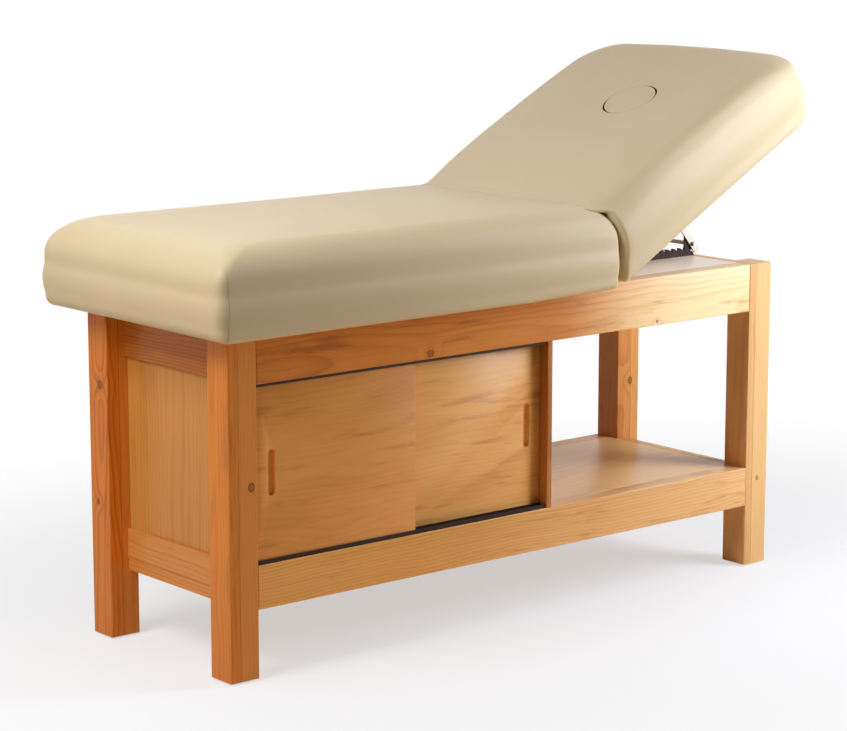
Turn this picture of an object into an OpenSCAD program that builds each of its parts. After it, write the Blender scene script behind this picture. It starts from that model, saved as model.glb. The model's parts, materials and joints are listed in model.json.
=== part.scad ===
// Spa bed with a cabinet base, a tilting back section and an open shelf bay

/* [Timber frame] */
// Length of the frame over the legs
frame_length = 1580; // [1500:5:1700]
// Width of the frame over the legs
frame_width = 515; // [480:5:620]
// Height of the frame top above the floor
frame_height = 732; // [650:1:780]
// Side of the square legs
leg_side = 72; // [60:1:90]
// Radius of the softened long edges of a leg
leg_edge_radius = 3; // [1:0.5:8]
// Height of the top rails
top_rail_height = 112; // [90:1:140]
// Height of the lower rails
lower_rail_height = 93; // [70:1:110]
// Height of the lower rails above the floor
lower_rail_clearance = 149; // [100:1:200]
// Thickness of the long rails
long_rail_thickness = 45; // [45:1:50]
// Thickness of the end rails
end_rail_thickness = 27; // [22:1:32]
// Setback of the foot end rails from the outer face of the legs
end_rail_setback = 45; // [30:1:45]
// Length of a tenon
tenon_length = 28; // [20:1:30]
// Thickness of a tenon
tenon_thickness = 12; // [8:1:14]
// Shoulder above and below a tenon
tenon_shoulder = 18; // [12:1:24]

/* [Cabinet] */
// Position of the partition from the foot end of the frame
partition_position = 868; // [800:1:940]
// Thickness of the partition
partition_thickness = 14; // [12:1:18]
// Thickness of the bottom shelf
shelf_thickness = 15; // [12:1:20]
// Thickness of the foot end and back panels
panel_thickness = 10; // [8:1:12]
// Depth of the grooves that hold the panels
groove_depth = 8; // [5:1:10]
// Side of the battens that carry the shelf and the deck
cleat_side = 22; // [16:1:28]
// Thickness of the deck under the back section
deck_thickness = 18; // [15:1:21]

/* [Sliding doors] */
// Overlap of the two doors in the middle
door_lap = 46; // [30:1:80]
// Thickness of a door
door_thickness = 16; // [12:1:16]
// Setback of the outer door from the rail face
door_setback = 6; // [4:1:8]
// Width of a finger pull
pull_width = 18; // [14:1:24]
// Height of a finger pull
pull_height = 98; // [70:1:120]
// Depth of a finger pull
pull_depth = 8; // [5:0.5:9]
// Distance of a finger pull from the door edge to its centre
pull_inset = 39; // [30:1:60]
// Height of the lips of the lower track
lower_lip_height = 9; // [6:1:12]
// Height of the lips of the upper track
upper_lip_height = 6; // [4:1:9]
// Thickness of a track lip
lip_thickness = 1.6; // [1:0.1:2]

/* [Cushions] */
// Thickness of the foot cushion at its edge
foot_cushion_thickness = 178; // [150:1:200]
// Extra height in the middle of the foot cushion
foot_crown_height = 12; // [4:1:16]
// Thickness of the back cushion at its edge
back_cushion_thickness = 168; // [150:1:190]
// Extra height in the middle of the back cushion
back_crown_height = 4; // [2:1:12]
// Overhang of the cushions past the long sides of the frame
side_overhang = 72; // [50:1:90]
// Overhang of the foot cushion past the foot end
foot_overhang = 70; // [40:1:90]
// Length of the back section from the hinge axis to its head end
back_length = 728; // [680:1:780]
// Corner radius of the foot cushion seen from above
foot_corner_radius = 26; // [16:1:50]
// Corner radius at the head end seen from above
head_corner_radius = 96; // [60:1:130]
// Depth of the rounded top edge at the foot end
foot_end_rounding = 112; // [70:1:130]
// Height of the rounded top edge at the foot end
foot_end_rounding_height = 86; // [60:1:95]
// Radius of the rounded top edge along the sides of the foot cushion
foot_side_rounding = 66; // [40:1:80]
// Radius of the rounded top edge at the head end of the back cushion
head_rounding = 58; // [40:1:80]
// Radius of the rounded top edge along the sides of the back cushion
back_side_rounding = 50; // [40:1:80]
// Swell of the cushion sides
side_swell = 4; // [1:0.5:8]
// How far the long sides draw in between the corners
side_draw = 3; // [1:0.5:6]
// Angle of the raised back section
back_angle = 29.5; // [15:0.5:32]

/* [Face hole] */
// Distance of the face hole from the hinge axis
face_hole_distance = 475; // [440:1:520]
// Diameter of the face hole
face_hole_diameter = 134; // [120:1:160]
// Diameter of the breathing hole in the back board
breathing_hole_diameter = 110; // [80:1:115]

/* [Back support] */
// Distance of the prop pivot from the hinge axis
prop_pivot_distance = 404; // [400:1:410]
// Distance of the prop foot rod from the hinge axis when raised
prop_foot_distance = 495; // [494:1:497]
// Height of the prop foot rod above the deck
prop_foot_height = 26.5; // [26:0.5:30]
// Width of a prop arm
prop_arm_width = 16; // [12:1:18]
// Thickness of a prop arm
prop_arm_thickness = 4; // [3:0.5:5]
// Distance of the racks from the middle of the bed
rack_offset = 58.5; // [58:0.5:80]
// Thickness of a rack
rack_thickness = 6; // [4:0.5:8]
// Height of a rack
rack_height = 21; // [16:1:21]
// Length of a rack
rack_length = 290; // [200:1:300]
// Number of notches in a rack
rack_notches = 14; // [8:1:16]
// Depth of a notch
notch_depth = 8; // [5:1:10]

/* [Hidden] */

// Clearances and overruns
joint_gap = 0.15;
seat_gap = 0.3;
slide_gap = 0.6;
pin_gap = 0.05;
overrun = 1;

// Heights and faces worked out from the sizes above
top_rail_bottom = frame_height - top_rail_height;
lower_rail_top = lower_rail_clearance + lower_rail_height;
inner_face_x = leg_side;
rail_span = frame_length - 2 * leg_side;
head_face_x = frame_length - leg_side;
long_inner_y = long_rail_thickness;
back_inner_y = frame_width - long_rail_thickness;
middle_y = frame_width / 2;
tenon_side = (end_rail_thickness - tenon_thickness) / 2;
long_tenon_side = 8;

// Foot glides
glide_radius = 22;
glide_height = 4;
glide_step = 1.5;

// Hinges of the back section
leaf_thickness = 2;
leaf_length = 80;
leaf_width = 76;
leaf_gap = 0.15;
barrel_radius = 4.5;
hinge_pin_radius = 2.2;
knuckles = 5;
knuckle_gap = 0.3;
hinge_end_gap = 12;
hinge_spacing = frame_width / 2 - long_rail_thickness - leaf_length / 2 - hinge_end_gap;
hinge_offsets = [-hinge_spacing, 0, hinge_spacing];
hinge_x = 1026;
hinge_z = frame_height - leaf_thickness + seat_gap;
cross_rail_before = 40;
cross_rail_after = 84;
cross_rail_height = 64;
barrel_room = 1.2;

// Boards under the cushions
foot_board_thickness = 18;
back_board_thickness = 12;
batten_height = 28;
batten_width = 80;
head_batten_width = 24;
skirt = 30;
foot_skirt = 20;
foot_bottom_radius = 12;
foot_cushion_end = 1019;
junction_gap_u = 15;
junction_skirt = 33;

// Cushion outline, counted in points
arc_steps = 8;
side_points = 5;
quarter_points = arc_steps + 1 + side_points;
outline_points = 4 * quarter_points;
arc_fan = 42;
back_bottom_radius = 24;
corner_least = 16;
junction_corner_radius = 12;
junction_rounding = 50;
junction_rounding_height = 84;
back_junction_rounding = 14;
hole_edge_radius = 5;
lean_reach = 330;
crown_shares = [0.8, 0.6, 0.4, 0.2];
cap_share = 0.06;

// Prop of the back section
pivot_drop = 14;
pivot_pin_radius = 4;
pivot_pin_overhang = 0.5;
foot_rod_radius = 5;
foot_rod_overhang = 0.5;
arm_toe = 20;
arm_offset = 50;
bracket_plate = 3;
bracket_length = 44;
bracket_ear_gap = 1.5;
web_run = 38;
web_step = 4;
web_reach = 28;
web_thickness = 3;
rack_end_gap = 3;
rack_nose = 12;

// Doors and tracks
track_base = 1.6;
door_gap = 1;
door_width = (partition_position - leg_side - 2 * door_gap + door_lap) / 2;
track_side_gap = 0.5;
track_middle = 4;
pull_centre_z = 432;

// Plug of the face hole
plug_gap = 1;
plug_board_thickness = 9;
plug_board_inset = 4;
plug_edge_radius = 6;

// Moulding on the foot end lower rail
step_depth = 2;
upper_step_drop = 31;
lower_step_drop = 64;

// The hinge axis and the raised back, in the frame's own coordinates
back_rise = leaf_thickness;
total_thickness = back_cushion_thickness + back_crown_height;
batten_base = back_rise;
board_base = batten_base + batten_height;
board_top = board_base + back_board_thickness;
pivot_level = board_base - pivot_drop;

// The prop hangs from its pivot to its foot
pivot_rest = [prop_pivot_distance * cos(back_angle) - pivot_level * sin(back_angle),
    prop_pivot_distance * sin(back_angle) + pivot_level * cos(back_angle)];
foot_rest = [prop_foot_distance, frame_height - hinge_z + prop_foot_height];
prop_length = norm(foot_rest - pivot_rest);
prop_slope = atan2(foot_rest[1] - pivot_rest[1], foot_rest[0] - pivot_rest[0]);

// Outline of a cushion layer, anticlockwise from the corner at the head end and the back side
function corner_arc(centre, radius, start) =
    [for (j = [0:arc_steps]) centre + radius * [cos(start + 90 * j / arc_steps), sin(start + 90 * j / arc_steps)]];

function side_run(from, to, inward, draw) =
    [for (i = [1:side_points])
        let (share = i / (side_points + 1))
        from + (to - from) * share + inward * draw * sin(180 * share)];

function outline(xa, xb, half, ra, rb, draw) =
    let (head_back = corner_arc([xb - rb, half - rb], rb, 0),
        foot_back = corner_arc([xa + ra, half - ra], ra, 90),
        foot_front = corner_arc([xa + ra, -half + ra], ra, 180),
        head_front = corner_arc([xb - rb, -half + rb], rb, 270))
    concat(head_back, side_run(head_back[arc_steps], foot_back[0], [0, -1], draw),
        foot_back, side_run(foot_back[arc_steps], foot_front[0], [1, 0], draw / 2),
        foot_front, side_run(foot_front[arc_steps], head_front[0], [0, 1], draw),
        head_front, side_run(head_front[arc_steps], head_back[0], [-1, 0], draw / 2));

function fan_angle(k) =
    let (quarter = floor(k / quarter_points), step = k % quarter_points)
    45 + 90 * quarter + (step <= arc_steps
        ? (step / arc_steps - 0.5) * arc_fan
        : arc_fan / 2 + (90 - arc_fan) * (step - arc_steps) / (side_points + 1));

function ring_of(centre, radius) =
    [for (k = [0:outline_points - 1]) centre + radius * [cos(fan_angle(k)), sin(fan_angle(k))]];

function lift(points, height) = [for (p = points) [p[0], p[1], height]];

function between(a, b, share) = [for (k = [0:outline_points - 1]) a[k] + (b[k] - a[k]) * share];

// The side of a cushion as [inset, height] from the bottom up
function side_profile(top, edge_height, bottom) =
    concat([[bottom, 0], [bottom * (1 - sin(45)), bottom * (1 - cos(45))], [0, bottom]],
        [for (i = [1:2])
            let (share = i / 3)
            [-side_swell * sin(180 * share), bottom + (top - edge_height - bottom) * share]],
        [for (i = [0:5])
            [0, top - edge_height + edge_height * sin(90 * i / 5)]]);

// How far a rounded top edge has drawn in at a height
function drawn_in(z, top, depth, height) =
    z <= top - height ? 0 : depth * (1 - sqrt(max(0, 1 - pow((z - top + height) / height, 2))));

// One layer of a cushion with its own rounding at each end and along the sides, as [depth, height].
// The ends that face each other across the hinge don't swell
function cushion_layer(step, top, xa, xb, ra, rb, foot_end, head_end, sides, swell_ends) =
    let (inset = step[0], z = step[1],
        foot_in = drawn_in(z, top, foot_end[0], foot_end[1]),
        head_in = drawn_in(z, top, head_end[0], head_end[1]),
        side_in = drawn_in(z, top, sides[0], sides[1]))
    lift(outline(xa + max(inset, inset * swell_ends[0]) + foot_in,
            xb - max(inset, inset * swell_ends[1]) - head_in,
            cushion_half - inset - side_in,
            max(ra - inset - min(foot_in, side_in), min(corner_least, ra)),
            max(rb - inset - min(head_in, side_in), min(corner_least, rb)),
            side_draw),
        z);

// Faces of stacked rings of points
function band_faces(first, second) =
    [for (k = [0:outline_points - 1])
        let (next = (k + 1) % outline_points)
        each [[first * outline_points + k, second * outline_points + k, second * outline_points + next],
            [first * outline_points + k, second * outline_points + next, first * outline_points + next]]];

function stack_faces(rings) = [for (i = [0:rings - 2]) each band_faces(i, i + 1)];

function start_cap(centre) =
    [for (k = [0:outline_points - 1]) [centre, k, (k + 1) % outline_points]];

function end_cap(rings, centre) =
    let (base = (rings - 1) * outline_points)
    [for (k = [0:outline_points - 1]) [centre, base + (k + 1) % outline_points, base + k]];

// Layers of the foot cushion, in the frame's own coordinates with y from the middle
cushion_half = frame_width / 2 + side_overhang;
foot_xa = -foot_overhang;
foot_xb = foot_cushion_end;
foot_pocket = outline(foot_xa + foot_skirt, foot_xb - foot_skirt, cushion_half - foot_skirt,
    foot_corner_radius, junction_corner_radius, 0);
foot_side = [for (step = side_profile(foot_cushion_thickness, foot_end_rounding_height, foot_bottom_radius))
    cushion_layer(step, foot_cushion_thickness, foot_xa, foot_xb, foot_corner_radius, junction_corner_radius,
        [foot_end_rounding, foot_end_rounding_height], [junction_rounding, junction_rounding_height],
        [foot_side_rounding, foot_side_rounding], [1, 0])];
foot_rim = foot_side[len(foot_side) - 1];
foot_centre = [for (k = [0:outline_points - 1]) [(foot_xa + foot_xb) / 2, 0, 0]];
function crowned(top, crown, share) = top + crown * (1 - share * share);
foot_crown = [for (share = concat(crown_shares, [cap_share]))
    [for (p = between(foot_centre, foot_rim, share))
        [p[0], p[1], crowned(foot_cushion_thickness, foot_crown_height, share)]]];
foot_layers = concat([lift(foot_pocket, foot_board_thickness + seat_gap), lift(foot_pocket, 0)],
    foot_side, foot_crown);

// Layers of the back cushion, from the hinge axis, with its junction end upright when raised
back_xa = junction_gap_u;
back_xb = back_length;
function leaned(p) = [p[0] + p[2] * tan(back_angle) * max(0, 1 - p[0] / lean_reach), p[1], p[2] + back_rise];
back_side = [for (step = side_profile(back_cushion_thickness, head_rounding, back_bottom_radius))
    cushion_layer(step, back_cushion_thickness, back_xa, back_xb, junction_corner_radius, head_corner_radius,
        [back_junction_rounding, back_junction_rounding], [head_rounding, head_rounding],
        [back_side_rounding, back_side_rounding], [0, 1])];
back_pocket = outline(back_xa + junction_skirt, back_xb - skirt, cushion_half - skirt,
    junction_corner_radius, head_corner_radius - skirt, 0);
back_rim = back_side[len(back_side) - 1];
hole_ring = ring_of([face_hole_distance, 0], face_hole_diameter / 2);
hole_edge = lift(ring_of([face_hole_distance, 0], face_hole_diameter / 2 + hole_edge_radius), total_thickness);
back_crown = [for (share = crown_shares)
    [for (p = between(hole_edge, back_rim, share))
        [p[0], p[1], crowned(back_cushion_thickness, back_crown_height, share)]]];
back_outer = [for (layer = concat(back_side, back_crown,
        [hole_edge, lift(hole_ring, total_thickness - hole_edge_radius)]))
    [for (p = layer) leaned(p)]];
back_layers = concat([lift(hole_ring, board_top + seat_gap), lift(back_pocket, board_top + seat_gap),
        lift(back_pocket, back_rise)],
    back_outer);

// The origin is on the floor under the middle of the whole outline
back_reach = max([for (layer = back_outer) each
    [for (p = layer) hinge_x + p[0] * cos(back_angle) - p[2] * sin(back_angle)]]);
foot_reach = min([for (layer = foot_side) each [for (p = layer) p[0]]]);
origin_x = (foot_reach + max(back_reach, frame_length)) / 2;

// Placing helpers
module from_frame_corner() {
    translate([-origin_x, -middle_y, 0])
        children();
}

module on_back() {
    translate([hinge_x - origin_x, 0, hinge_z])
        rotate([0, -back_angle, 0])
            children();
}

// The prop lies along its own x axis from its pivot
module on_prop() {
    translate([hinge_x - origin_x + pivot_rest[0], 0, hinge_z + pivot_rest[1]])
        rotate([0, -prop_slope, 0])
            children();
}

module at_leg(at_head, at_back) {
    from_frame_corner()
        translate([at_head ? frame_length : 0, at_back ? frame_width : 0, 0])
            mirror([at_head ? 1 : 0, 0, 0])
                mirror([0, at_back ? 1 : 0, 0])
                    children();
}

// A plate cut in the X and Z plane and set across the bed from y to y plus width
module across(y, width) {
    translate([0, y + width, 0])
        rotate([90, 0, 0])
            linear_extrude(width)
                children();
}

// A profile drawn in Y and Z and run along X
module along(x, run) {
    translate([x, 0, 0])
        rotate([90, 0, 90])
            linear_extrude(run)
                children();
}

module rounded_square(side, radius) {
    translate([radius, 0])
        square([side - 2 * radius, side]);
    translate([0, radius])
        square([side, side - 2 * radius]);
    for (x = [radius, side - radius], y = [radius, side - radius])
        translate([x, y])
            circle(radius, $fn = 24);
}

// Legs, with mortises for the rails and grooves for the panels
module mortise_long(bottom, height) {
    translate([leg_side - tenon_length - joint_gap, long_tenon_side - joint_gap,
            bottom + tenon_shoulder - joint_gap])
        cube([tenon_length + joint_gap + overrun, tenon_thickness + 2 * joint_gap,
            height - 2 * tenon_shoulder + 2 * joint_gap]);
}

module mortise_end(bottom, height) {
    translate([end_rail_setback + tenon_side - joint_gap, leg_side - tenon_length - joint_gap,
            bottom + tenon_shoulder - joint_gap])
        cube([tenon_thickness + 2 * joint_gap, tenon_length + joint_gap + overrun,
            height - 2 * tenon_shoulder + 2 * joint_gap]);
}

module leg(end_groove, back_groove) {
    color([0.83, 0.58, 0.3])
        difference() {
            translate([0, 0, glide_height])
                linear_extrude(frame_height - glide_height)
                    rounded_square(leg_side, leg_edge_radius);
            mortise_long(lower_rail_clearance, lower_rail_height);
            mortise_long(top_rail_bottom, top_rail_height);
            mortise_end(lower_rail_clearance, lower_rail_height);
            mortise_end(top_rail_bottom, top_rail_height);
            if (end_groove)
                translate([panel_x - joint_gap, leg_side - groove_depth, lower_rail_top - groove_depth])
                    cube([panel_thickness + 2 * joint_gap, groove_depth + overrun,
                        top_rail_bottom - lower_rail_top + 2 * groove_depth]);
            if (back_groove)
                translate([leg_side - groove_depth, back_panel_y - joint_gap, lower_rail_top - groove_depth])
                    cube([groove_depth + overrun, panel_thickness + 2 * joint_gap,
                        top_rail_bottom - lower_rail_top + 2 * groove_depth]);
        }
}

panel_x = end_rail_setback + (end_rail_thickness - panel_thickness) / 2;
back_panel_y = long_rail_thickness - panel_thickness - groove_depth;

// A long rail with a tenon at each end, its outer face at y = 0
module long_rail(bottom, height) {
    color([0.87, 0.63, 0.35]) {
        difference() {
            union() {
                translate([leg_side, 0, bottom])
                    cube([rail_span, long_rail_thickness, height]);
                translate([leg_side - tenon_length, long_tenon_side, bottom + tenon_shoulder])
                    cube([rail_span + 2 * tenon_length, tenon_thickness, height - 2 * tenon_shoulder]);
            }
            children();
        }
    }
}

// An end rail with its outer face at the setback from the leg face
module end_rail(bottom, height) {
    color([0.85, 0.61, 0.34]) {
        difference() {
            union() {
                translate([end_rail_setback, leg_side, bottom])
                    cube([end_rail_thickness, frame_width - 2 * leg_side, height]);
                translate([end_rail_setback + tenon_side, leg_side - tenon_length, bottom + tenon_shoulder])
                    cube([tenon_thickness, frame_width - 2 * leg_side + 2 * tenon_length,
                        height - 2 * tenon_shoulder]);
            }
            children();
        }
    }
}

module back_groove_cut(z) {
    translate([leg_side - overrun, back_panel_y - joint_gap, z])
        cube([partition_position + partition_thickness - leg_side + overrun,
            panel_thickness + 2 * joint_gap, groove_depth + overrun]);
}

module end_groove_cut(z) {
    translate([panel_x - joint_gap, leg_side - overrun, z])
        cube([panel_thickness + 2 * joint_gap, frame_width - 2 * leg_side + 2 * overrun,
            groove_depth + overrun]);
}

module front_top_rail() {
    from_frame_corner()
        long_rail(top_rail_bottom, top_rail_height);
}

module back_top_rail() {
    at_leg(false, true)
        long_rail(top_rail_bottom, top_rail_height)
            back_groove_cut(top_rail_bottom - overrun);
}

module front_lower_rail() {
    from_frame_corner()
        long_rail(lower_rail_clearance, lower_rail_height);
}

module back_lower_rail() {
    at_leg(false, true)
        long_rail(lower_rail_clearance, lower_rail_height)
            back_groove_cut(lower_rail_top - groove_depth);
}

module foot_top_rail() {
    from_frame_corner()
        end_rail(top_rail_bottom, top_rail_height)
            end_groove_cut(top_rail_bottom - overrun);
}

// The foot end lower rail has a stepped moulding on its outer face
module foot_lower_rail() {
    from_frame_corner()
        end_rail(lower_rail_clearance, lower_rail_height) {
            end_groove_cut(lower_rail_top - groove_depth);
            translate([end_rail_setback - overrun, leg_side - overrun, lower_rail_top - upper_step_drop])
                cube([overrun + step_depth / 2, frame_width - 2 * leg_side + 2 * overrun,
                    upper_step_drop + overrun]);
            translate([end_rail_setback - overrun, leg_side - overrun, lower_rail_clearance - overrun])
                cube([overrun + step_depth, frame_width - 2 * leg_side + 2 * overrun,
                    lower_rail_height - lower_step_drop + overrun]);
        }
}

module head_top_rail() {
    at_leg(true, false)
        end_rail(top_rail_bottom, top_rail_height);
}

module head_lower_rail() {
    at_leg(true, false)
        end_rail(lower_rail_clearance, lower_rail_height);
}

// The hinge rail lies between the long rails, with a housing for each hinge and a barrel channel
module hinge_cross_rail() {
    color([0.85, 0.62, 0.36])
        from_frame_corner()
            difference() {
                translate([hinge_x - cross_rail_before, long_inner_y, frame_height - cross_rail_height])
                    cube([cross_rail_before + cross_rail_after, back_inner_y - long_inner_y, cross_rail_height]);
                for (y = hinge_offsets) {
                    translate([hinge_x, middle_y + y - leaf_length / 2 - seat_gap,
                            hinge_z - leaf_thickness])
                        cube([leaf_width + seat_gap, leaf_length + 2 * seat_gap,
                            2 * leaf_thickness + overrun]);
                    translate([hinge_x, middle_y + y + leaf_length / 2 + seat_gap, hinge_z])
                        rotate([90, 0, 0])
                            cylinder(h = leaf_length + 2 * seat_gap, r = barrel_radius + barrel_room, $fn = 48);
                }
            }
}

module foot_end_panel() {
    color([0.88, 0.68, 0.42])
        from_frame_corner()
            translate([panel_x, leg_side - groove_depth + seat_gap, lower_rail_top - groove_depth + seat_gap])
                cube([panel_thickness, frame_width - 2 * leg_side + 2 * groove_depth - 2 * seat_gap,
                    top_rail_bottom - lower_rail_top + 2 * groove_depth - 2 * seat_gap]);
}

module cabinet_back_panel() {
    color([0.88, 0.68, 0.42])
        at_leg(false, true)
            translate([leg_side - groove_depth + seat_gap, back_panel_y, lower_rail_top - groove_depth + seat_gap])
                cube([partition_position + partition_thickness - leg_side + groove_depth - seat_gap,
                    panel_thickness, top_rail_bottom - lower_rail_top + 2 * groove_depth - 2 * seat_gap]);
}

// The partition stands on the shelf and is notched round the top rails
module partition_panel() {
    back_edge = frame_width - back_panel_y - panel_thickness;
    partition_top = frame_height - cross_rail_height;
    color([0.8, 0.58, 0.34])
        from_frame_corner()
            along(partition_position, partition_thickness)
                polygon([[0, lower_rail_top], [back_edge, lower_rail_top], [back_edge, top_rail_bottom],
                    [back_inner_y, top_rail_bottom], [back_inner_y, partition_top],
                    [long_inner_y, partition_top], [long_inner_y, top_rail_bottom], [0, top_rail_bottom]]);
}

module bottom_shelf() {
    color([0.88, 0.68, 0.42])
        from_frame_corner()
            translate([inner_face_x, long_inner_y, lower_rail_top - shelf_thickness])
                cube([rail_span, back_inner_y - long_inner_y, shelf_thickness]);
}

module cleat_pair(x, run, top) {
    for (y = [long_inner_y, back_inner_y - cleat_side])
        translate([x, y, top - cleat_side])
            cube([run, cleat_side, cleat_side]);
}

module shelf_cleats() {
    color([0.8, 0.58, 0.32])
        from_frame_corner()
            cleat_pair(inner_face_x, rail_span, lower_rail_top - shelf_thickness);
}

// The deck closes the frame top behind the hinge rail and carries the racks
deck_x = hinge_x + cross_rail_after;

module head_deck() {
    color([0.9, 0.72, 0.48])
        from_frame_corner()
            translate([deck_x, long_inner_y, frame_height - deck_thickness])
                cube([head_face_x - deck_x, back_inner_y - long_inner_y, deck_thickness]);
}

module deck_cleats() {
    color([0.8, 0.58, 0.32])
        from_frame_corner() {
            cleat_pair(deck_x, head_face_x - deck_x, frame_height - deck_thickness);
            translate([head_face_x - cleat_side, long_inner_y + cleat_side,
                    frame_height - deck_thickness - cleat_side])
                cube([cleat_side, back_inner_y - long_inner_y - 2 * cleat_side, cleat_side]);
        }
}

module foot_board() {
    color([0.82, 0.66, 0.45])
        translate([-origin_x, 0, frame_height])
            linear_extrude(foot_board_thickness)
                polygon([for (p = outline(foot_xa + foot_skirt + seat_gap, foot_xb - foot_skirt - seat_gap,
                    cushion_half - foot_skirt - seat_gap, foot_corner_radius, junction_corner_radius, 0)) p]);
}

module foot_cushion() {
    color([0.87, 0.8, 0.68])
        translate([-origin_x, 0, frame_height])
            polyhedron(points = concat([for (layer = foot_layers) each layer],
                    [[foot_centre[0][0], 0, foot_board_thickness + seat_gap],
                        [foot_centre[0][0], 0, foot_cushion_thickness + foot_crown_height]]),
                faces = concat(start_cap(len(foot_layers) * outline_points), stack_faces(len(foot_layers)),
                    end_cap(len(foot_layers), len(foot_layers) * outline_points + 1)));
}

// Twin channel tracks of the sliding doors
lane = [door_setback, door_setback + door_thickness + track_middle];

module track_profile(lip) {
    front = door_setback - track_side_gap - lip_thickness;
    last = lane[1] + door_thickness + track_side_gap;
    translate([front, 0])
        square([last + lip_thickness - front, track_base]);
    translate([front, 0])
        square([lip_thickness, track_base + lip]);
    translate([last, 0])
        square([lip_thickness, track_base + lip]);
    translate([door_setback + door_thickness + track_side_gap, 0])
        square([track_middle - 2 * track_side_gap, track_base + lip]);
}

track_run = partition_position - leg_side;

module lower_door_track() {
    color([0.2, 0.11, 0.06])
        from_frame_corner()
            translate([0, 0, lower_rail_top])
                along(leg_side, track_run)
                    track_profile(lower_lip_height - track_base);
}

module upper_door_track() {
    color([0.2, 0.11, 0.06])
        from_frame_corner()
            translate([0, 0, top_rail_bottom])
                mirror([0, 0, 1])
                    along(leg_side, track_run)
                        track_profile(upper_lip_height - track_base);
}

// A sliding door with a blind finger pull
door_bottom = lower_rail_top + track_base + seat_gap;
door_top = top_rail_bottom - track_base - slide_gap;

module door(x, y, pull_x) {
    color([0.84, 0.62, 0.38])
        from_frame_corner()
            difference() {
                translate([x, y, door_bottom])
                    cube([door_width, door_thickness, door_top - door_bottom]);
                translate([0, y, 0])
                    across(-overrun, pull_depth + overrun) {
                        translate([pull_x - pull_width / 2, pull_centre_z - pull_height / 2 + pull_width / 2])
                            square([pull_width, pull_height - pull_width]);
                        for (side = [-1, 1])
                            translate([pull_x, pull_centre_z + side * (pull_height - pull_width) / 2])
                                circle(pull_width / 2, $fn = 32);
                    }
            }
}

module left_door() {
    start = leg_side + door_gap;
    door(start, lane[0], start + pull_inset);
}

module right_door() {
    start = partition_position - door_gap - door_width;
    door(start, lane[1], start + door_width - pull_inset);
}

// Racks with sawtooth notches and a low rounded nose at the head end
rack_end = hinge_x + prop_foot_distance - rack_end_gap;
notch_pitch = (rack_length - rack_nose) / rack_notches;

module rack_outline() {
    start = rack_end - rack_length;
    difference() {
        union() {
            translate([start, 0])
                square([rack_length - rack_nose, rack_height]);
            translate([rack_end - rack_nose, 0])
                intersection() {
                    circle(rack_nose, $fn = 48);
                    square([rack_nose, rack_height]);
                }
        }
        for (i = [0:rack_notches - 1])
            translate([start + i * notch_pitch, rack_height])
                polygon([[notch_pitch / 4, 0], [notch_pitch, -notch_depth], [notch_pitch, 0]]);
    }
}

module rack(side) {
    color([0.12, 0.1, 0.09])
        from_frame_corner()
            translate([0, 0, frame_height])
                across(middle_y + side * rack_offset - rack_thickness / 2, rack_thickness)
                    rack_outline();
}

// Butt hinges, with the knuckles of the two leaves taking turns along each pin
knuckle_run = leaf_length / knuckles;

module knuckle_row(first) {
    for (i = [first:2:knuckles - 1])
        translate([0, -leaf_length / 2 + i * knuckle_run + knuckle_gap / 2, 0])
            rotate([-90, 0, 0])
                cylinder(h = knuckle_run - knuckle_gap, r = barrel_radius, $fn = 48);
}

module knuckle_clearance(first) {
    for (i = [first:2:knuckles - 1])
        translate([-barrel_radius - overrun, -leaf_length / 2 + i * knuckle_run - knuckle_gap / 2, -barrel_radius])
            cube([2 * barrel_radius + overrun + barrel_room, knuckle_run + knuckle_gap, 2 * barrel_radius]);
}

module pin_bore() {
    translate([0, -leaf_length / 2 - overrun, 0])
        rotate([-90, 0, 0])
            cylinder(h = leaf_length + 2 * overrun, r = hinge_pin_radius + pin_gap, $fn = 48);
}

module leaf(first, other, level) {
    difference() {
        union() {
            knuckle_row(first);
            difference() {
                translate([0, -leaf_length / 2, level])
                    cube([leaf_width, leaf_length, leaf_thickness - leaf_gap]);
                knuckle_clearance(other);
            }
        }
        pin_bore();
    }
}

module hinge_leaves_fixed() {
    color([0.7, 0.7, 0.72])
        translate([hinge_x - origin_x, 0, hinge_z])
            for (y = hinge_offsets)
                translate([0, y, 0])
                    leaf(0, 1, -leaf_thickness);
}

module hinge_leaves_moving() {
    color([0.7, 0.7, 0.72])
        on_back()
            for (y = hinge_offsets)
                translate([0, y, 0])
                    leaf(1, 0, leaf_gap);
}

module hinge_pins() {
    color([0.6, 0.6, 0.62])
        translate([hinge_x - origin_x, 0, hinge_z])
            for (y = hinge_offsets)
                translate([0, y - leaf_length / 2, 0])
                    rotate([-90, 0, 0])
                        cylinder(h = leaf_length, r = hinge_pin_radius, $fn = 48);
}

module foot_glides() {
    color([0.15, 0.12, 0.1])
        from_frame_corner()
            for (x = [leg_side / 2, frame_length - leg_side / 2], y = [leg_side / 2, frame_width - leg_side / 2])
                translate([x, y, 0])
                    rotate_extrude($fn = 48)
                        polygon([[0, 0], [glide_radius - glide_step, 0], [glide_radius, glide_step],
                            [glide_radius, glide_height], [0, glide_height]]);
}

// The back section: a board on battens, hollow between them for the racks and the prop
board_xa = back_xa + junction_skirt + seat_gap;
board_xb = back_xb - skirt - seat_gap;
board_half = cushion_half - skirt - seat_gap;

module board_outline() {
    polygon([for (p = outline(board_xa, board_xb, board_half,
        junction_corner_radius, head_corner_radius - skirt, 0)) p]);
}

module back_board() {
    color([0.82, 0.66, 0.45])
        on_back()
            translate([0, 0, board_base])
                difference() {
                    linear_extrude(back_board_thickness)
                        board_outline();
                    translate([face_hole_distance, 0, -overrun])
                        cylinder(h = back_board_thickness + 2 * overrun, d = breathing_hole_diameter, $fn = 72);
                }
}

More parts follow.
